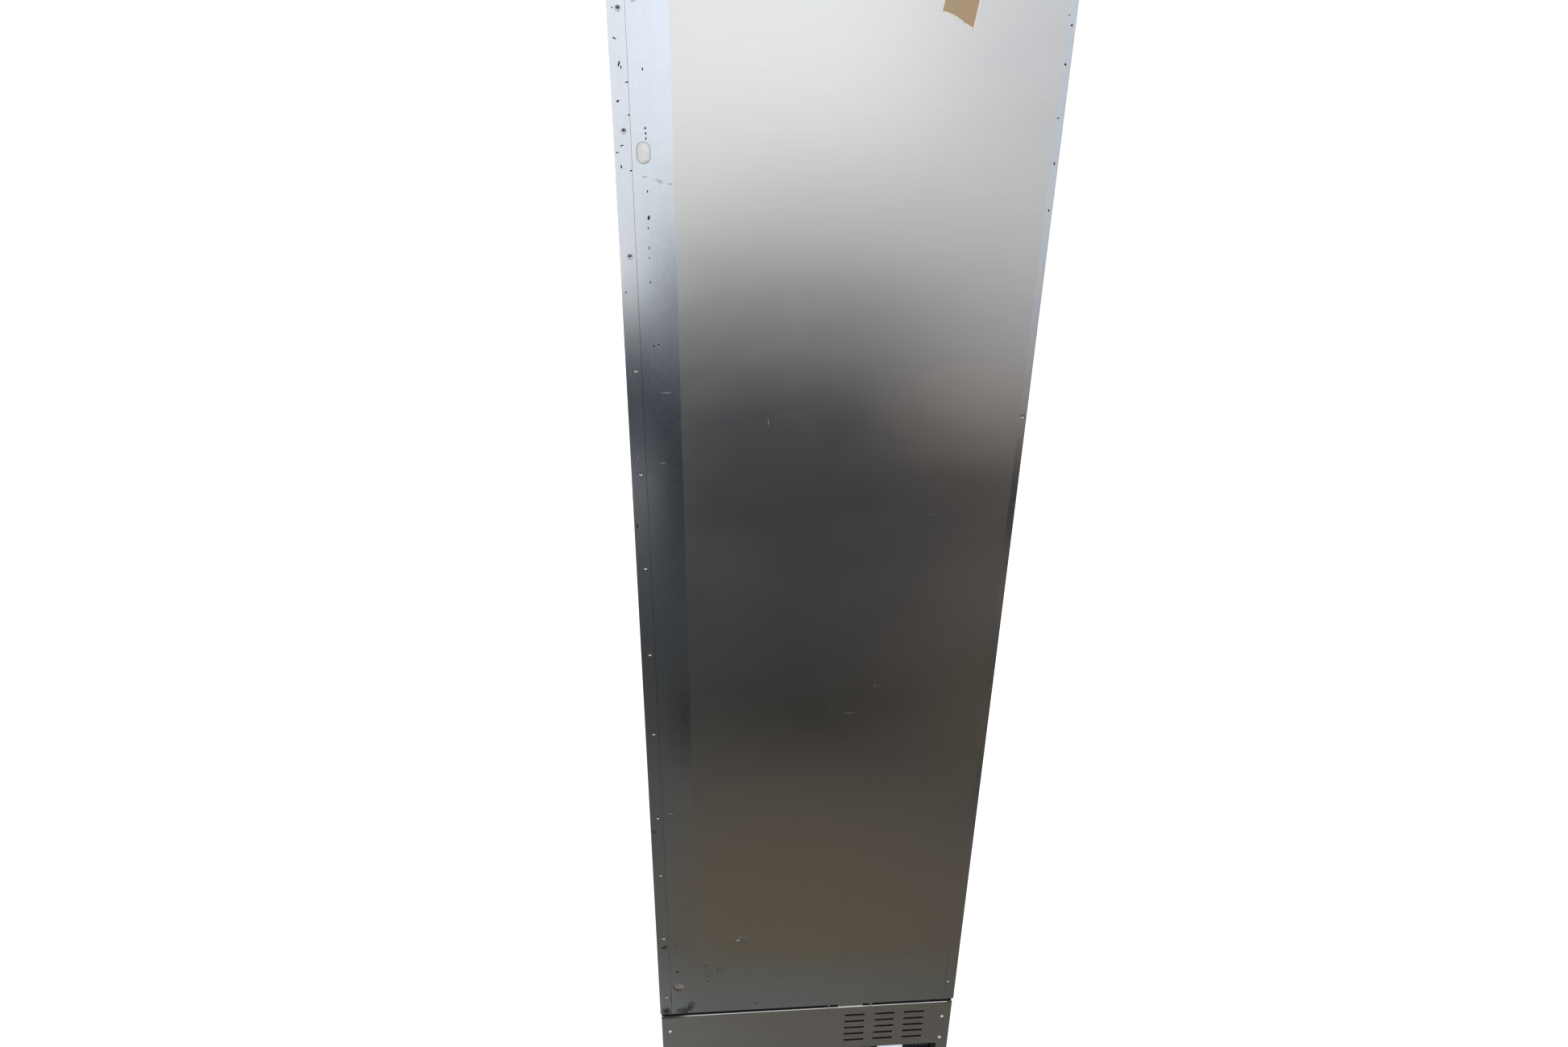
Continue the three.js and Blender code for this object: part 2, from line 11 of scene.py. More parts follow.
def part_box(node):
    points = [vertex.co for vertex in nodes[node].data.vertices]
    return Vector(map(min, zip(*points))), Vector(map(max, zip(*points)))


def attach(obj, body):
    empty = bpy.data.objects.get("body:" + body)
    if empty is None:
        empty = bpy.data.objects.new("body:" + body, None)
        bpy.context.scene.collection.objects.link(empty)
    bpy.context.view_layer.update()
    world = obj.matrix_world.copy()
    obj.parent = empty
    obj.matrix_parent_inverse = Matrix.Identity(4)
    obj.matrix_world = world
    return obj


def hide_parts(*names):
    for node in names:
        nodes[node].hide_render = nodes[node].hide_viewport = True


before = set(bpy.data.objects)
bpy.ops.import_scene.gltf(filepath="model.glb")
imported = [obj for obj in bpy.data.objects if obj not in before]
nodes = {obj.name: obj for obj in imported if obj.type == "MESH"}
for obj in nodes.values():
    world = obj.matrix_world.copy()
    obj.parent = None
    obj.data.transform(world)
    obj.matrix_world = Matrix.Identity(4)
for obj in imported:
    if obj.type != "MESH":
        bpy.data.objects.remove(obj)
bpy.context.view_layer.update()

MM = 0.001
FACE_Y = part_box("outer_skin")[0].y  # front face of the wall



# ---- camera ---------------------------------------------------------------------------------

CAMERA_ACROSS, CAMERA_UP = -194.7, 2059.2  # millimetres from the frame's origin
CAMERA_AWAY = 1483.9  # millimetres in front of the wall
YAW, PITCH, ROLL = (math.radians(a) for a in (4.865, 26.412, 0.987))
LENS, SENSOR = 24.0, 36.0  # millimetres


def make_camera():
    data = bpy.data.cameras.new("camera")
    data.lens = LENS
    data.sensor_width = SENSOR
    data.sensor_fit = "HORIZONTAL"
    data.clip_start = 0.05
    data.clip_end = 200.0
    camera = bpy.data.objects.new("camera", data)
    bpy.context.scene.collection.objects.link(camera)
    look = Vector(
        (math.sin(YAW) * math.cos(PITCH), math.cos(YAW) * math.cos(PITCH), -math.sin(PITCH))
    )
    level = Vector((math.cos(YAW), -math.sin(YAW), 0.0))
    rise = level.cross(look)
    right = math.cos(ROLL) * level + math.sin(ROLL) * rise
    up = -math.sin(ROLL) * level + math.cos(ROLL) * rise
    turn = Matrix((right, up, -look)).transposed()
    place = Vector((CAMERA_ACROSS * MM, FACE_Y - CAMERA_AWAY * MM, CAMERA_UP * MM))
    camera.matrix_world = Matrix.Translation(place) @ turn.to_4x4()
    bpy.context.scene.camera = camera


# ---- node helpers ---------------------------------------------------------------------------


class Nodes:
    """Short names for the shader nodes used below, in one tree."""

    def __init__(self, tree):
        self.tree = tree

    def add(self, kind, **settings):
        node = self.tree.nodes.new(kind)
        for name, value in settings.items():
            setattr(node, name, value)
        return node

    def put(self, socket, value):
        if isinstance(value, bpy.types.NodeSocket):
            self.tree.links.new(value, socket)
        elif value is not None:
            socket.default_value = value

    def math(self, operation, a, b=None, c=None):
        node = self.add("ShaderNodeMath", operation=operation)
        for socket, value in zip(node.inputs, (a, b, c)):
            self.put(socket, value)
        return node.outputs[0]

    def vector(self, operation, a, b=None):
        node = self.add("ShaderNodeVectorMath", operation=operation)
        for socket, value in zip(node.inputs, (a, b)):
            self.put(socket, value)
        return node.outputs["Vector"]

    def mix(self, factor, a, b, blend="MIX"):
        node = self.add("ShaderNodeMix", data_type="RGBA", blend_type=blend)
        self.put(node.inputs["Factor"], factor)
        self.put(node.inputs[6], a)
        self.put(node.inputs[7], b)
        return node.outputs[2]

    def shaded(self, base, shade):
        """A base colour made darker or lighter by a grey value."""
        return self.mix(1.0, (*base, 1.0), self.mix(0.0, shade, shade), "MULTIPLY")

    def remap(self, value, low, high, to_low, to_high, smooth=False):
        node = self.add("ShaderNodeMapRange", interpolation_type="SMOOTHSTEP" if smooth else "LINEAR")
        for name, number in (
            ("Value", value),
            ("From Min", low),
            ("From Max", high),
            ("To Min", to_low),
            ("To Max", to_high),
        ):
            self.put(node.inputs[name], number)
        return node.outputs[0]

    def ramp(self, value, stops):
        node = self.add("ShaderNodeValToRGB")
        node.color_ramp.interpolation = "LINEAR"
        elements = node.color_ramp.elements
        while len(elements) < len(stops):
            elements.new(1.0)
        for element, (position, color) in zip(elements, stops):
            element.position = position
            element.color = (*color, 1.0)
        self.put(node.inputs[0], value)
        return node.outputs[0]

    def point(self):
        """Object coordinates in metres: the same as the frame's, because objects sit at the origin."""
        return self.add("ShaderNodeTexCoord").outputs["Object"]

    def stretched(self, scale, shift=(0.0, 0.0, 0.0)):
        node = self.add("ShaderNodeMapping")
        self.put(node.inputs["Vector"], self.point())
        self.put(node.inputs["Location"], shift)
        self.put(node.inputs["Scale"], scale)
        return node.outputs[0]

    def noise(self, scale, detail=3.0, roughness=0.55, stretch=(1.0, 1.0, 1.0), shift=(0.0, 0.0, 0.0)):
        node = self.add("ShaderNodeTexNoise")
        self.put(node.inputs["Vector"], self.stretched(stretch, shift))
        self.put(node.inputs["Scale"], scale)
        self.put(node.inputs["Detail"], detail)
        self.put(node.inputs["Roughness"], roughness)
        return node.outputs["Fac"]

    def voronoi(self, scale, stretch=(1.0, 1.0, 1.0), feature="F1", output="Distance"):
        node = self.add("ShaderNodeTexVoronoi", feature=feature)
        self.put(node.inputs["Vector"], self.stretched(stretch))
        self.put(node.inputs["Scale"], scale)
        return node.outputs[output]

    def bump(self, height, distance, strength):
        node = self.add("ShaderNodeBump")
        self.put(node.inputs["Height"], height)
        self.put(node.inputs["Distance"], distance)
        self.put(node.inputs["Strength"], strength)
        return node.outputs[0]

    def spot(self, x, z, rx, rz, angle=0.0, soft=0.5):
        """1 inside a small ellipse on the front face, fading to 0 at its rim. Millimetres, degrees."""
        across, _, up = self.split()
        dx = self.math("SUBTRACT", across, x * MM)
        dz = self.math("SUBTRACT", up, z * MM)
        c, s = math.cos(math.radians(angle)), math.sin(math.radians(angle))
        u = self.math("MULTIPLY_ADD", dx, c / (rx * MM), self.math("MULTIPLY", dz, s / (rx * MM)))
        v = self.math("MULTIPLY_ADD", dz, c / (rz * MM), self.math("MULTIPLY", dx, -s / (rz * MM)))
        square = self.math("MULTIPLY_ADD", u, u, self.math("MULTIPLY", v, v))
        return self.remap(square, 1.0 - soft, 1.0 + soft, 1.0, 0.0, smooth=True)

    def split(self):
        """The three object coordinates, from one shared node."""
        if not hasattr(self, "_split"):
            node = self.add("ShaderNodeSeparateXYZ")
            self.put(node.inputs[0], self.point())
            self._split = node.outputs
        return self._split

    def strongest(self, values):
        first, *others = values
        for value in others:
            first = self.math("MAXIMUM", first, value)
        return first


def new_material(name):
    material = bpy.data.materials.new(name)
    material.use_nodes = True
    material.node_tree.nodes.clear()
    n = Nodes(material.node_tree)
    shader = n.add("ShaderNodeBsdfPrincipled")
    out = n.add("ShaderNodeOutputMaterial")
    n.tree.links.new(shader.outputs[0], out.inputs[0])
    return material, n, shader


def dress(material, *names):
    """Give nodes of the frame one material."""
    for name in names:
        slots = nodes[name].data.materials
        slots.clear()
        slots.append(material)


# ---- studio ---------------------------------------------------------------------------------

# What the metal mirrors, by height of the direction above the horizon in degrees: straight ahead of
# the wall, round to its left, and round to its right. The lower half is the shaded room in front of
# the object, the upper half the soft studio light.
ROOM_AHEAD = (
    (-90, (0.100, 0.100, 0.098)),
    (-56, (0.142, 0.140, 0.136)),
    (-52, (0.130, 0.128, 0.124)),
    (-50, (0.128, 0.120, 0.106)),
    (-48.6, (0.114, 0.092, 0.056)),
    (-47.3, (0.122, 0.096, 0.057)),
    (-45.3, (0.125, 0.099, 0.070)),
    (-42.5, (0.109, 0.093, 0.075)),
    (-40, (0.092, 0.085, 0.074)),
    (-38.4, (0.042, 0.041, 0.038)),
    (-36.2, (0.018, 0.018, 0.018)),
    (-34.4, (0.046, 0.045, 0.044)),
    (-31, (0.050, 0.051, 0.053)),
    (-28.5, (0.044, 0.048, 0.053)),
    (-24, (0.028, 0.031, 0.035)),
    (-21, (0.034, 0.036, 0.041)),
    (-19.4, (0.052, 0.056, 0.064)),
    (-17.6, (0.112, 0.114, 0.122)),
    (-15.8, (0.205, 0.208, 0.216)),
    (-14.2, (0.262, 0.264, 0.272)),
    (-12.9, (0.350, 0.354, 0.364)),
    (-11.2, (0.560, 0.564, 0.574)),
    (-9.5, (0.780, 0.785, 0.795)),
    (-6, (0.940, 0.950, 0.970)),
    (-3.8, (1.000, 1.015, 1.045)),
    (-1, (1.060, 1.085, 1.125)),
    (10, (1.050, 1.060, 1.080)),
    (90, (1.000, 1.000, 1.000)),
)
ROOM_LEFT = (
    (-90, (0.120, 0.120, 0.118)),
    (-56, (0.200, 0.202, 0.202)),
    (-51.5, (0.192, 0.194, 0.194)),
    (-49.8, (0.142, 0.139, 0.134)),
    (-48.6, (0.102, 0.099, 0.090)),
    (-47, (0.108, 0.105, 0.096)),
    (-45.3, (0.104, 0.102, 0.097)),
    (-42.5, (0.090, 0.089, 0.086)),
    (-39.2, (0.086, 0.085, 0.083)),
    (-36.8, (0.066, 0.066, 0.065)),
    (-33.2, (0.052, 0.053, 0.054)),
    (-28.6, (0.084, 0.086, 0.089)),
    (-25.8, (0.140, 0.141, 0.144)),
    (-23.9, (0.195, 0.196, 0.201)),
    (-22.2, (0.108, 0.111, 0.120)),
    (-20, (0.056, 0.061, 0.073)),
    (-18.6, (0.062, 0.069, 0.084)),
    (-17.2, (0.120, 0.126, 0.140)),
    (-15.8, (0.280, 0.284, 0.294)),
    (-14.6, (0.540, 0.542, 0.552)),
    (-13.2, (0.920, 0.922, 0.932)),
    (-9.5, (0.900, 0.906, 0.918)),
    (-6, (0.930, 0.940, 0.965)),
    (-1, (0.960, 0.980, 1.015)),
    (10, (1.000, 1.010, 1.030)),
    (90, (1.000, 1.000, 1.000)),
)
ROOM_RIGHT = (
    (-90, (0.090, 0.090, 0.088)),
    (-56, (0.120, 0.118, 0.114)),
    (-51.7, (0.108, 0.107, 0.103)),
    (-50, (0.106, 0.102, 0.094)),
    (-48.7, (0.122, 0.104, 0.074)),
    (-47.3, (0.108, 0.090, 0.064)),
    (-45.3, (0.112, 0.094, 0.075)),
    (-42.5, (0.104, 0.092, 0.079)),
    (-39.2, (0.062, 0.055, 0.049)),
    (-36.8, (0.096, 0.082, 0.065)),
    (-33.2, (0.058, 0.047, 0.038)),
    (-28.6, (0.112, 0.104, 0.099)),
    (-25.8, (0.046, 0.043, 0.041)),
    (-23.9, (0.036, 0.034, 0.033)),
    (-22.4, (0.058, 0.048, 0.042)),
    (-21.2, (0.150, 0.124, 0.106)),
    (-19.6, (0.240, 0.224, 0.218)),
    (-17.6, (0.360, 0.356, 0.356)),
    (-15.8, (0.420, 0.418, 0.420)),
    (-12.9, (0.520, 0.523, 0.533)),
    (-9.5, (0.630, 0.637, 0.653)),
    (-3.8, (0.620, 0.640, 0.675)),
    (-1, (0.660, 0.680, 0.715)),
    (10, (0.850, 0.860, 0.880)),
    (90, (1.000, 1.000, 1.000)),
)
# Degrees round to the side between which the room ahead gives way to the one at that side.
LEFT_BLEND = (-1.9, -3.5)
RIGHT_BLEND = (7.0, 19.0)
# Soft patches in the room, in degrees, and the light each adds: (round, height, half width, half height).
PATCHES = (
    ((14.8, -19.6, 3.2, 0.9), (0.150, 0.074, 0.040)),
    ((1.7, -28.4, 0.7, 1.8), (0.060, 0.060, 0.060)),
    ((1.7, -31.8, 0.8, 1.3), (0.040, 0.038, 0.036)),
    ((7.5, -8.6, 5.5, 1.1), (-0.190, -0.190, -0.190)),
    ((8.5, -36.6, 5.0, 1.2), (-0.012, -0.012, -0.012)),
    ((17.5, -31.0, 1.6, 5.0), (0.024, 0.014, 0.008)),
    ((11.5, -54.0, 3.5, 1.0), (-0.045, -0.045, -0.045)),
)
PATCH_EDGE = 2.2  # square of the distance, in half widths, at which a patch has faded out
FLOOR_SIZE = 90.0  # metres
FLOOR_DROP = 0.0005
SHELL_RADIUS = 44.0


def room_ramp(n, place, room):
    """One side of the room; place runs from 0 straight down to 1 straight up."""
    stops = [((angle + 90.0) / 180.0, color) for angle, color in room]
    return n.ramp(place, stops)


def make_world():
    """The surroundings that the metal mirrors and that light the part."""
    world = bpy.data.worlds.new("studio")
    bpy.context.scene.world = world
    world.use_nodes = True
    world.node_tree.nodes.clear()
    n = Nodes(world.node_tree)
    parts = n.add("ShaderNodeSeparateXYZ")
    n.put(parts.inputs[0], n.vector("NORMALIZE", n.add("ShaderNodeTexCoord").outputs["Generated"]))
    height = n.math("DEGREES", n.math("ARCSINE", parts.outputs[2]))
    ahead = n.math("MULTIPLY", parts.outputs[1], -1.0)
    around = n.math("DEGREES", n.math("ARCTAN2", parts.outputs[0], ahead))
    place = n.remap(height, -90.0, 90.0, 0.0, 1.0)
    room = room_ramp(n, place, ROOM_AHEAD)
    to_left = n.remap(around, *LEFT_BLEND, 0.0, 1.0, smooth=True)
    room = n.mix(to_left, room, room_ramp(n, place, ROOM_LEFT))
    to_right = n.remap(around, *RIGHT_BLEND, 0.0, 1.0, smooth=True)
    room = n.mix(to_right, room, room_ramp(n, place, ROOM_RIGHT))
    for (turn, rise, wide, tall), light in PATCHES:
        u = n.math("MULTIPLY", n.math("SUBTRACT", around, turn), 1.0 / wide)
        v = n.math("MULTIPLY", n.math("SUBTRACT", height, rise), 1.0 / tall)
        square = n.math("MULTIPLY_ADD", u, u, n.math("MULTIPLY", v, v))
        glow = n.remap(square, 0.0, PATCH_EDGE, 1.0, 0.0, smooth=True)
        room = n.mix(glow, room, n.vector("ADD", room, light))
    background = n.add("ShaderNodeBackground")
    n.put(background.inputs["Color"], room)
    out = n.add("ShaderNodeOutputWorld")
    n.tree.links.new(background.outputs[0], out.inputs[0])


def glow_material(name, base, strength):
    """A matt white or black surface that also gives off an even white light."""
    material, _, shader = new_material(name)
    shader.inputs["Base Color"].default_value = (base, base, base, 1.0)
    shader.inputs["Roughness"].default_value = 1.0
    shader.inputs["Specular IOR Level"].default_value = 0.0
    shader.inputs["Emission Color"].default_value = (1.0, 1.0, 1.0, 1.0)
    shader.inputs["Emission Strength"].default_value = strength
    return material


def make_floor():
    """A plain pale floor, and a white shell far around it that only the camera sees."""
    bpy.ops.mesh.primitive_plane_add(size=FLOOR_SIZE, location=(0.0, 0.0, -FLOOR_DROP))
    floor = bpy.context.object
    floor.name = "studio_floor"
    floor.data.materials.append(glow_material("studio_floor", 0.9, 0.55))
    floor.visible_glossy = False
    bpy.ops.mesh.primitive_uv_sphere_add(segments=48, ring_count=24, radius=SHELL_RADIUS)
    shell = bpy.context.object
    shell.name = "studio_shell"
    shell.data.materials.append(glow_material("studio_shell", 0.0, 1.05))
    shell.visible_glossy = False
    shell.visible_diffuse = False
    shell.visible_transmission = False
    shell.visible_shadow = False


def make_studio():
    make_world()
    make_floor()
    scene = bpy.context.scene
    scene.view_settings.view_transform = "Standard"
    scene.view_settings.look = "None"
    scene.view_settings.exposure = 0.0
    scene.view_settings.gamma = 1.0


# ---- metals ---------------------------------------------------------------------------------

# Marks on the sheets: (x, z, half width, half height, lean), in millimetres and degrees.
# Near-black spots in small pits and dimples, in this list and the next two: painted shade in the hollows.
FLANGE_SHADED_PITS = (
    (-297.6, 2052, 0.9, 0.9, 0),
    (-296.8, 2017, 2.2, 0.9, -30),
    (-292.6, 1987, 1.0, 3.6, -20),
    (-290.2, 1983, 0.9, 1.8, 10),
    (-296.4, 1942, 2.2, 1.1, 25),
    (-296.0, 1860, 1.0, 2.2, 8),
    (-300.6, 1878, 1.8, 0.7, 0),
    (-294.0, 1887, 2.4, 0.7, 15),
    (-283.5, 1965, 2.0, 0.8, 10),
    (-282.8, 1925, 1.1, 1.1, 0),
    (-283.2, 1855, 1.8, 0.9, 0),
    (-288.9, 252, 3.4, 1.8, 0),
    (-298.5, 1690, 1.1, 1.1, 0),
    (-300.0, 1320, 1.4, 4.0, 0),
)
SKIN_SHADED_PITS = (
    (-262.2, 1909, 1.1, 1.6, -30),
    (-261.8, 1902.5, 1.1, 1.5, 0),
    (-261.7, 1896, 0.8, 1.9, 0),
    (-262.6, 1981, 0.9, 1.8, 0),
    (-262.6, 1828, 0.9, 1.6, 0),
    (-262.2, 1793, 1.5, 3.2, -12),
    (-263.4, 1779, 0.8, 1.6, 0),
    (-263.2, 1752, 0.7, 2.6, 0),
    (-263.5, 1738, 0.7, 1.5, 0),
    (-263.5, 1704, 0.8, 2.0, 0),
    (-262.6, 1611, 2.0, 1.4, 20),
    (-255.0, 1613, 1.2, 1.8, 0),
    (-266.5, 322, 2.4, 2.6, 0),
    (-268.0, 395, 1.4, 1.2, 0),
    (-206.0, 306, 1.0, 3.4, 0),
    (-208.0, 293, 1.4, 1.8, 0),
    (-110.0, 220, 1.6, 2.2, 0),
    (-281.2, 247, 0.5, 21, 0),
    (-209.0, 336, 4.0, 1.0, 0),
    (-187.0, 322, 0.5, 9.0, 0),
    (-181.0, 325, 0.4, 7.0, 0),
)
RIGHT_SHADED_PITS = (
    (299.0, 2040, 1.5, 1.4, 0),
    (293.6, 2052, 1.4, 1.0, 0),
    (296.9, 1993, 1.7, 1.4, 0),
    (296.0, 1926, 1.4, 1.0, 0),
    (298.5, 1867, 1.2, 1.8, 0),
    (299.0, 1804, 1.2, 1.6, 0),
)
SCUFFS = (
    (-249.5, 1843, 4.5, 1.3, -9),
    (-244.5, 1841, 4.0, 1.9, -16),
    (-266, 1847, 5.0, 0.7, -4),
    (-231, 1838, 3.0, 1.0, -14),
    (-276, 2078, 2.4, 4.5, 20),
    (-268, 2073, 4.0, 2.4, -30),
    (-271, 2060, 3.0, 1.4, 0),
)
BRIGHT = (
    (-289.8, 413, 1.4, 1.3, 0),
    (-294.5, 417, 1.2, 1.0, 0),
    (-298.5, 358, 0.8, 4.5, 0),
    (-267.5, 731.7, 4.2, 1.2, 8),
    (-247.0, 1540, 7.5, 0.35, 0),
    (-256.0, 1427, 5.5, 0.35, 4),
    (-293.4, 1437, 1.2, 1.0, 0),
)
GRIME = (
    (-292, 210, 8.0, 11.0, 15),
    (-257, 209, 15.0, 9.0, 12),
    (-243, 220, 6.5, 15.0, -18),
    (-290.5, 393, 7.0, 6.0, 20),
    (-298, 690, 3.5, 5.0, 0),
    (-262, 743, 5.0, 1.2, 30),
)

FACING_CHIPS = (
    (95, 1002, 1.3, 1.1),
    (167, 1330, 0.9, 0.9),
    (20, 958, 0.8, 0.8),
    (52, 945, 11, 0.45),
    (-95, 1492, 0.4, 5.0),
)
FACING_DENT = (-142, 404, 17, 9, 4)
FACING_DING = (-146, 406, 5, 3.2, 0)
# Painted shade on the kick plate's top hem at both ends, where the gap above it is dark: (x, z, half
# width, half height, lean), in millimetres and degrees.
KICK_END_SHADE = (
    (-292, 193, 36, 5.5, 0),
    (301, 193, 10, 5, 0),
)
# Painted shade in the screw recesses: the screw colour darkens with depth behind the wall's face.
RECESS_SHADE_DEPTHS = (0.9, 1.5)  # millimetres behind the wall's face, where it starts and where it is full


def marked(n, marks, soft, scale, low, high):
    """Strength of a group of marks, broken up by noise."""
    mark = n.strongest(n.spot(*one, soft=soft) for one in marks)
    return n.math("MULTIPLY", mark, n.remap(n.noise(scale, detail=3.0), low, high, 0.0, 1.0))


def galvanized(name, base, rough, pits=(), scuffs=(), grime=(), bright=()):
    """Hot-dip galvanized sheet: faint spangle, rolled streaks, specks, pits painted near black as their
    shade, scuffs and grime.
    """
    material, n, shader = new_material(name)
    grey = n.add("ShaderNodeRGBToBW")
    n.put(grey.inputs[0], n.voronoi(110.0, stretch=(1.0, 1.0, 0.55), output="Color"))
    cloud = n.noise(7.0, detail=5.0, roughness=0.6, stretch=(1.0, 1.0, 0.35))
    streak = n.noise(380.0, detail=2.0, stretch=(1.0, 1.0, 0.04))
    mottle = n.noise(190.0, detail=3.0, roughness=0.7)
    shade = n.math("MULTIPLY_ADD", grey.outputs[0], 0.035, n.math("MULTIPLY", cloud, 0.10))
    shade = n.math("MULTIPLY_ADD", streak, 0.05, shade)
    shade = n.math("MULTIPLY_ADD", mottle, 0.09, shade)
    shade = n.math("ADD", shade, 0.865)
    color = n.shaded(base, shade)
    speck = n.remap(n.voronoi(230.0), 0.0, 0.14, 1.0, 0.0)
    rare = n.remap(n.noise(13.0, detail=3.0, shift=(3.1, 0.0, 1.7)), 0.56, 0.66, 0.0, 1.0)
    speck = n.math("MULTIPLY", speck, rare)
    color = n.mix(n.math("MULTIPLY", speck, 0.45), color, (0.30, 0.32, 0.34, 1.0))
    roughness = n.math("MULTIPLY_ADD", cloud, 0.08, rough - 0.06)
    roughness = n.math("MULTIPLY_ADD", mottle, 0.06, roughness)
    height = n.math("MULTIPLY_ADD", mottle, 0.10, n.math("MULTIPLY", streak, 0.03))
    if scuffs:
        scuff = marked(n, scuffs, 0.9, 420.0, 0.38, 0.6)
        color = n.mix(n.math("MULTIPLY", scuff, 0.8), color, (0.36, 0.41, 0.38, 1.0))
        roughness = n.math("MULTIPLY_ADD", scuff, 0.3, roughness)
    if bright:
        shine = n.strongest(n.spot(*one, soft=0.7) for one in bright)
        color = n.mix(n.math("MULTIPLY", shine, 0.5), color, (0.92, 0.94, 0.95, 1.0))
        roughness = n.math("MULTIPLY_ADD", shine, 0.30, roughness)
    if grime:
        smear = marked(n, grime, 0.95, 200.0, 0.36, 0.54)
        color = n.mix(n.math("MULTIPLY", smear, 0.94), color, (0.030, 0.030, 0.022, 1.0))
        roughness = n.math("MULTIPLY_ADD", smear, 0.5, roughness)
    if pits:
        # Painted shade: each pit is coloured near black as the shade down in it, and is sunk a little by
        # the bump.
        pit_shade = n.strongest(n.spot(*one, soft=0.6) for one in pits)
        color = n.mix(pit_shade, color, (0.030, 0.030, 0.038, 1.0))
        roughness = n.math("MULTIPLY_ADD", pit_shade, 0.5, roughness)
        height = n.math("MULTIPLY_ADD", pit_shade, -4.0, height)
    n.put(shader.inputs["Base Color"], color)
    n.put(shader.inputs["Roughness"], roughness)
    n.put(shader.inputs["Normal"], n.bump(height, 0.00004, 0.5))
    shader.inputs["Metallic"].default_value = 1.0
    return material


def facing_steel():
    """Warm grey stainless sheet with a very fine grain, soft ripples and a few dents."""
    material, n, shader = new_material("facing_steel")
    grain = n.noise(240.0, detail=2.0, stretch=(0.05, 1.0, 1.0))
    cloud = n.noise(3.2, detail=4.0, stretch=(0.5, 1.0, 1.4))
    film = n.noise(11.0, detail=5.0, roughness=0.6, stretch=(0.6, 1.0, 1.0))
    shade = n.math("MULTIPLY_ADD", grain, 0.04, n.math("MULTIPLY", cloud, 0.05))
    shade = n.math("MULTIPLY_ADD", film, 0.07, shade)
    shade = n.math("ADD", shade, 0.91)
    color = n.shaded((0.783, 0.779, 0.768), shade)
    chip = n.strongest(n.spot(*one) for one in FACING_CHIPS)
    color = n.mix(n.math("MULTIPLY", chip, 0.4), color, (0.95, 0.95, 0.95, 1.0))
    roughness = n.math("MULTIPLY_ADD", cloud, 0.05, 0.115)
    roughness = n.math("MULTIPLY_ADD", film, 0.05, roughness)
    roughness = n.math("MULTIPLY_ADD", chip, 0.22, roughness)
    dent = n.spot(*FACING_DENT, soft=0.95)
    ding = n.spot(*FACING_DING, soft=0.95)
    height = n.math("MULTIPLY_ADD", dent, -12.0, n.math("MULTIPLY", ding, -60.0))
    waves = n.noise(4.0, detail=1.0, stretch=(0.25, 1.0, 1.0), shift=(0.0, 0.0, 0.4))
    height = n.math("MULTIPLY_ADD", waves, 14.0, height)
    n.put(shader.inputs["Base Color"], color)
    n.put(shader.inputs["Roughness"], roughness)
    n.put(shader.inputs["Normal"], n.bump(height, 0.00003, 0.5))
    shader.inputs["Metallic"].default_value = 1.0
    return material


def kick_steel():
    """Brushed steel of the kick plate, grain along X, with handling smears."""
    material, n, shader = new_material("kick_steel")
    grain = n.noise(260.0, detail=3.0, stretch=(0.05, 1.0, 1.0))
    cloud = n.noise(6.0, detail=4.0, shift=(1.3, 0.0, 0.2))
    wipe = n.noise(30.0, detail=4.0, roughness=0.65, stretch=(0.4, 1.0, 1.0))
    shade = n.math("MULTIPLY_ADD", grain, 0.06, n.math("MULTIPLY", cloud, 0.14))
    shade = n.math("MULTIPLY_ADD", wipe, 0.12, shade)
    shade = n.math("ADD", shade, 0.82)
    color = n.shaded((0.800, 0.797, 0.780), shade)
    roughness = n.math("MULTIPLY_ADD", cloud, 0.08, 0.15)
    roughness = n.math("MULTIPLY_ADD", wipe, 0.06, roughness)
    # Painted shade: the hem goes near black at both ends, standing in for the dark gap.
    painted_shade = n.strongest(n.spot(*one, soft=0.8) for one in KICK_END_SHADE)
    color = n.mix(n.math("MULTIPLY", painted_shade, 0.9), color, (0.030, 0.030, 0.024, 1.0))
    roughness = n.math("MULTIPLY_ADD", painted_shade, 0.4, roughness)
    n.put(shader.inputs["Base Color"], color)
    n.put(shader.inputs["Roughness"], roughness)
    n.put(shader.inputs["Normal"], n.bump(grain, 0.000002, 0.5))
    shader.inputs["Metallic"].default_value = 1.0
    return material


def plated(name, base, rough, shaded_recess=False):
    """Small plated hardware: bright with a little dulling in patches, and painted shade down in a recess.
    """
    material, n, shader = new_material(name)
    cloud = n.noise(220.0, detail=3.0)
    shade = n.math("MULTIPLY_ADD", cloud, 0.25, 0.80)
    color = n.shaded(base, shade)
    if shaded_recess:
        # Painted shade: the colour goes near black with depth behind the wall's face, where the recess
        # lies in shade.
        start, full = (FACE_Y + depth * MM for depth in RECESS_SHADE_DEPTHS)
        painted_shade = n.remap(n.split()[1], start, full, 0.0, 0.95)
        color = n.mix(painted_shade, color, (0.020, 0.020, 0.018, 1.0))
    n.put(shader.inputs["Base Color"], color)
    n.put(shader.inputs["Roughness"], n.math("MULTIPLY_ADD", cloud, 0.12, rough - 0.06))
    n.put(shader.inputs["Normal"], n.bump(n.noise(900.0), 0.000006, 0.3))
    shader.inputs["Metallic"].default_value = 1.0
    return material


# ---- other materials ------------------------------------------------------------------------


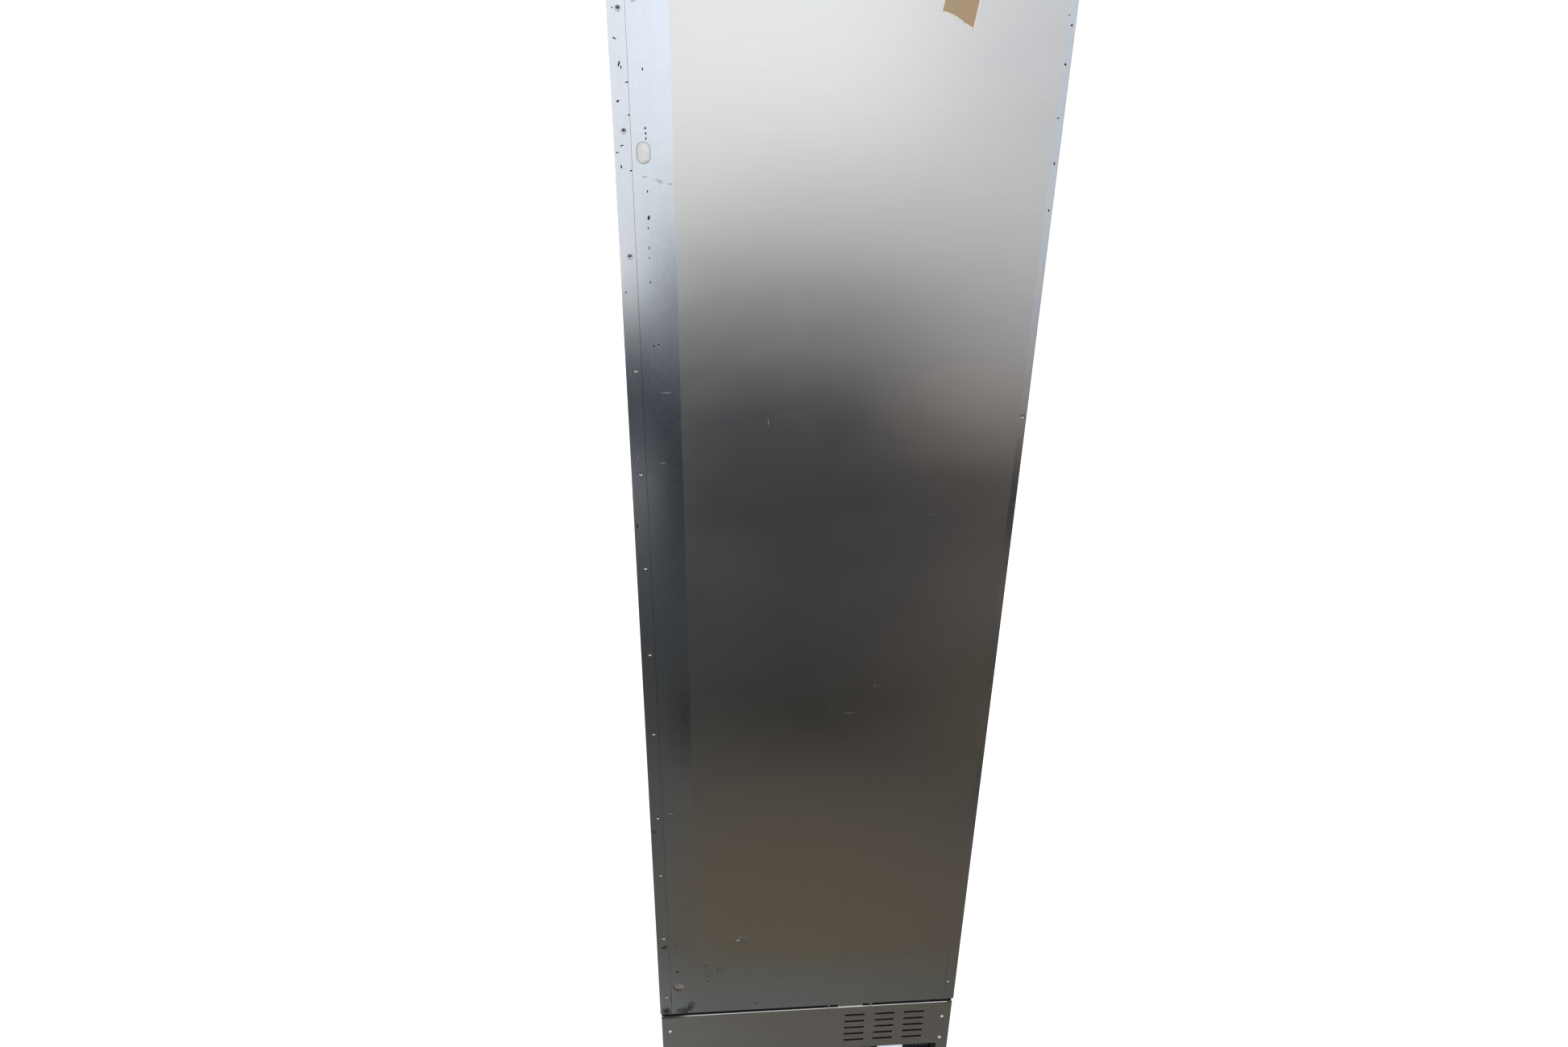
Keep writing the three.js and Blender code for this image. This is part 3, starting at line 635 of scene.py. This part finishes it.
def oval_foam():
    """Off-white plug: fine upright grain, with a fan of shallow ripples at the upper right."""
    material, n, shader = new_material("oval_foam")
    grain = n.noise(520.0, detail=3.0, stretch=(1.0, 1.0, 0.12))
    rings = n.add("ShaderNodeTexWave", wave_type="RINGS", rings_direction="Y")
    n.put(rings.inputs["Vector"], n.stretched((1.0, 1.0, 1.0), (0.272, 0.0, -1.872)))
    n.put(rings.inputs["Scale"], 95.0)
    n.put(rings.inputs["Distortion"], 1.5)
    corner = n.spot(-261, 1887, 7, 9, 30, soft=0.9)
    ripple = n.math("MULTIPLY", rings.outputs["Fac"], corner)
    tone = n.math("MULTIPLY_ADD", grain, 0.16, n.math("MULTIPLY_ADD", ripple, 0.18, 0.86))
    color = n.shaded((0.600, 0.595, 0.580), tone)
    stain = n.spot(-263, 1866.5, 4, 1.6, 20, soft=0.9)
    color = n.mix(n.math("MULTIPLY", stain, 0.5), color, (0.30, 0.30, 0.24, 1.0))
    n.put(shader.inputs["Base Color"], color)
    shader.inputs["Roughness"].default_value = 0.75
    n.put(shader.inputs["Normal"], n.bump(n.math("ADD", ripple, grain), 0.0003, 0.5))
    return material


def round_foam():
    """Sooty grey-brown plug with a clean tan wedge where its skin has come off, and a dark crescent at
    one side that is painted shade of a gap round it.
    """
    material, n, shader = new_material("round_foam")
    grain = n.noise(600.0, detail=4.0)
    tone = n.math("MULTIPLY_ADD", grain, 0.35, 0.80)
    color = n.shaded((0.120, 0.106, 0.088), tone)
    wedge = n.strongest((n.spot(-260.5, 281.5, 6.5, 2.6, 24), n.spot(-257.5, 277, 3.2, 3.0)))
    color = n.mix(n.math("MULTIPLY", wedge, 0.8), color, (0.205, 0.158, 0.112, 1.0))
    # Painted shade: a near-black crescent at the rim stands in for the shaded gap between the plug and
    # its hole.
    gap_shade = n.math("SUBTRACT", 1.0, n.spot(-264.4, 280.4, 10.4, 9.6, 0, soft=0.16))
    color = n.mix(n.math("MULTIPLY", gap_shade, 0.92), color, (0.020, 0.018, 0.015, 1.0))
    n.put(shader.inputs["Base Color"], color)
    shader.inputs["Roughness"].default_value = 0.85
    n.put(shader.inputs["Normal"], n.bump(grain, 0.0004, 0.6))
    return material


def wall_foam():
    """Rigid foam: fine open cells, uneven tone."""
    material, n, shader = new_material("wall_foam")
    cells = n.voronoi(900.0, feature="SMOOTH_F1")
    cloud = n.noise(160.0, detail=4.0)
    tone = n.math("MULTIPLY_ADD", cloud, 0.30, n.math("MULTIPLY_ADD", cells, -0.25, 0.92))
    color = n.shaded((0.80, 0.70, 0.48), tone)
    n.put(shader.inputs["Base Color"], color)
    shader.inputs["Roughness"].default_value = 0.9
    n.put(shader.inputs["Normal"], n.bump(n.math("ADD", cells, cloud), 0.0006, 0.6))
    return material


def paper_material():
    """Brown kraft tape: short fibres and faint creases."""
    material, n, shader = new_material("kraft_paper")
    fibre = n.noise(900.0, detail=4.0, stretch=(1.0, 1.0, 0.25))
    cloud = n.noise(60.0, detail=4.0)
    tone = n.math("MULTIPLY_ADD", fibre, 0.22, n.math("MULTIPLY", cloud, 0.18))
    tone = n.math("ADD", tone, 0.80)
    color = n.shaded((0.335, 0.240, 0.142), tone)
    n.put(shader.inputs["Base Color"], color)
    shader.inputs["Roughness"].default_value = 0.6
    n.put(shader.inputs["Normal"], n.bump(n.math("ADD", fibre, cloud), 0.00012, 0.5))
    return material


def torn_material():
    """Pale inner ply that shows along the torn and the slit edges."""
    material, n, shader = new_material("torn_ply")
    fibre = n.noise(1200.0, detail=4.0)
    tone = n.math("MULTIPLY_ADD", fibre, 0.25, 0.84)
    color = n.shaded((0.72, 0.66, 0.55), tone)
    n.put(shader.inputs["Base Color"], color)
    shader.inputs["Roughness"].default_value = 0.8
    n.put(shader.inputs["Normal"], n.bump(fibre, 0.00015, 0.6))
    return material


def painted(name, base, rough, peel=500.0, shade_range=0.12, gloss=0.5):
    """Coated sheet or moulded plastic with a fine orange peel and light dust."""
    material, n, shader = new_material(name)
    shader.inputs["Specular IOR Level"].default_value = gloss
    cloud = n.noise(14.0, detail=5.0)
    tone = n.math("MULTIPLY_ADD", cloud, shade_range, 1.0 - shade_range / 2)
    color = n.shaded(base, tone)
    n.put(shader.inputs["Base Color"], color)
    n.put(shader.inputs["Roughness"], n.math("MULTIPLY_ADD", cloud, 0.2, rough - 0.1))
    n.put(shader.inputs["Normal"], n.bump(n.noise(peel, detail=2.0), 0.00005, 0.4))
    return material


def dress_nodes():
    """Every node's material, by name."""
    skin = (0.745, 0.800, 0.855)
    flange = (0.755, 0.795, 0.835)
    dress(galvanized("skin_zinc", skin, 0.095, SKIN_SHADED_PITS, SCUFFS, GRIME, BRIGHT), "outer_skin")
    dress(galvanized("flange_zinc", flange, 0.10, FLANGE_SHADED_PITS, (), GRIME, BRIGHT), "left_corner_flange")
    dress(galvanized("edge_zinc", flange, 0.11, RIGHT_SHADED_PITS), "right_corner_flange")
    dress(galvanized("channel_zinc", (0.70, 0.72, 0.74), 0.28), "top_channel", "bottom_channel")
    dress(facing_steel(), "facing_sheet")
    dress(kick_steel(), "kick_plate")
    screws = plated("screw_zinc", (0.82, 0.83, 0.84), 0.16, shaded_recess=True)
    nuts = plated("nut_zinc", (0.78, 0.77, 0.70), 0.34)
    feet = plated("foot_zinc", (0.76, 0.77, 0.78), 0.34)
    for name in nodes:
        if name.startswith("kick_screw") or "_flange_screw_" in name:
            dress(screws, name)
        elif name.startswith(("clip_nut", "foot_nut")):
            dress(nuts, name)
        elif name.startswith("foot_"):
            dress(feet, name)
    dress(plated("bracket_zinc", (0.80, 0.86, 0.94), 0.30), "connection_bracket")
    dress(galvanized("rail_zinc", (0.56, 0.57, 0.59), 0.36), "left_screw_rail", "right_screw_rail")
    # Near-black coat on the base parts, partly a real black e-coat and partly painted shade: it makes the
    # enclosed base read dark through the vents and the gap.
    dress(
        painted("base_coat", (0.010, 0.010, 0.012), 0.50, 700.0, 0.4, 0.16),
        "left_runner",
        "right_runner",
        "front_left_post",
        "front_right_post",
        "rear_left_post",
        "rear_right_post",
        "left_gusset",
        "right_gusset",
        "base_pan",
        "deck",
    )
    dress(galvanized("duct_zinc", (0.26, 0.26, 0.26), 0.40), "duct_panel", "baffle_post")
    dress(wall_foam(), "foam_core")
    dress(oval_foam(), "oval_plug")
    dress(round_foam(), "round_plug")
    dress(painted("liner_white", (0.63, 0.64, 0.63), 0.34), "inner_liner")
    dress(painted("housing_black", (0.018, 0.019, 0.024), 0.40, 900.0, 0.12, 0.35), "ribbed_housing")


# ---- pieces that replace a plain CAD solid ----------------------------------------------------


TAPE_WIDTH = 0.0470  # metres, like every length below
TAPE_LEAN = math.tan(math.radians(9.5))
TEAR_RISE = 0.0210  # from the lowest tip to the left end of the tear
# The torn edge from its left end to its right end: part of the width, and drop.
TEAR = ((0.0, 0.0), (0.12, -0.0010), (0.26, -0.0030), (0.45, -0.0068), (0.70, -0.0142), (1.0, -TEAR_RISE))
TEAR_ROUGHNESS = 0.0009
CURL_HEIGHT = 0.010
CURL_LIFT = 0.0011
GLUE_GAP = 0.0001
TAPE_THICKNESS = 0.00018


def torn_edge(part):
    """Height of the tear over its lowest tip, at a part of the width."""
    for (u0, d0), (u1, d1) in zip(TEAR, TEAR[1:]):
        if part <= u1:
            return TEAR_RISE + d0 + (d1 - d0) * (part - u0) / (u1 - u0)
    return 0.0


def torn_tape():
    """The tape scrap with its torn lower edge, a lifted corner and a pale ply round the tear."""
    low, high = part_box("tape_scrap")
    random.seed(7)
    rows, columns = 26, 22
    parts = [i / columns for i in range(columns + 1)]
    edge = [low.z + torn_edge(part) + random.uniform(0.0, TEAR_ROUGHNESS) for part in parts]
    edge[-1] = low.z
    mesh = bmesh.new()
    grid = []
    for j in range(rows + 1):
        line = []
        for part, foot in zip(parts, edge):
            z = foot + (high.z - foot) * (j / rows) ** 1.25
            x = low.x + part * TAPE_WIDTH + (z - low.z - TEAR_RISE) * TAPE_LEAN
            curl = max(0.0, 1.0 - (z - foot) / CURL_HEIGHT) ** 2
            lift = GLUE_GAP + CURL_LIFT * curl * (0.35 + 0.65 * part)
            x = min(max(x, low.x), high.x)
            line.append(mesh.verts.new((x, high.y - GLUE_GAP - lift, z)))
        grid.append(line)
    for j in range(rows):
        for i in range(columns):
            quad = (grid[j][i], grid[j][i + 1], grid[j + 1][i + 1], grid[j + 1][i])
            face = mesh.faces.new(quad)
            face.smooth = True
            face.material_index = 1 if j == 0 or i == columns - 1 else 0
    data = bpy.data.meshes.new("torn_tape")
    mesh.to_mesh(data)
    mesh.free()
    tape = bpy.data.objects.new("torn_tape", data)
    bpy.context.scene.collection.objects.link(tape)
    data.materials.append(paper_material())
    data.materials.append(torn_material())
    thick = tape.modifiers.new("thickness", "SOLIDIFY")
    thick.thickness = TAPE_THICKNESS
    thick.offset = -1.0
    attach(tape, "frame")
    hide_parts("tape_scrap")


def soften_edges():
    """Small rounded edges on the folded and cut sheet, as a press or a guillotine leaves them."""
    for name, width in (
        ("facing_sheet", 0.00025),
        ("deck", 0.0004),
        ("base_pan", 0.0004),
        ("connection_bracket", 0.0004),
        ("ribbed_housing", 0.0006),
        ("duct_panel", 0.0003),
    ):
        bevel = nodes[name].modifiers.new("edge", "BEVEL")
        bevel.width = width
        bevel.segments = 2
        bevel.limit_method = "ANGLE"
        bevel.angle_limit = math.radians(40)


make_camera()
make_studio()
dress_nodes()
torn_tape()
soften_edges()
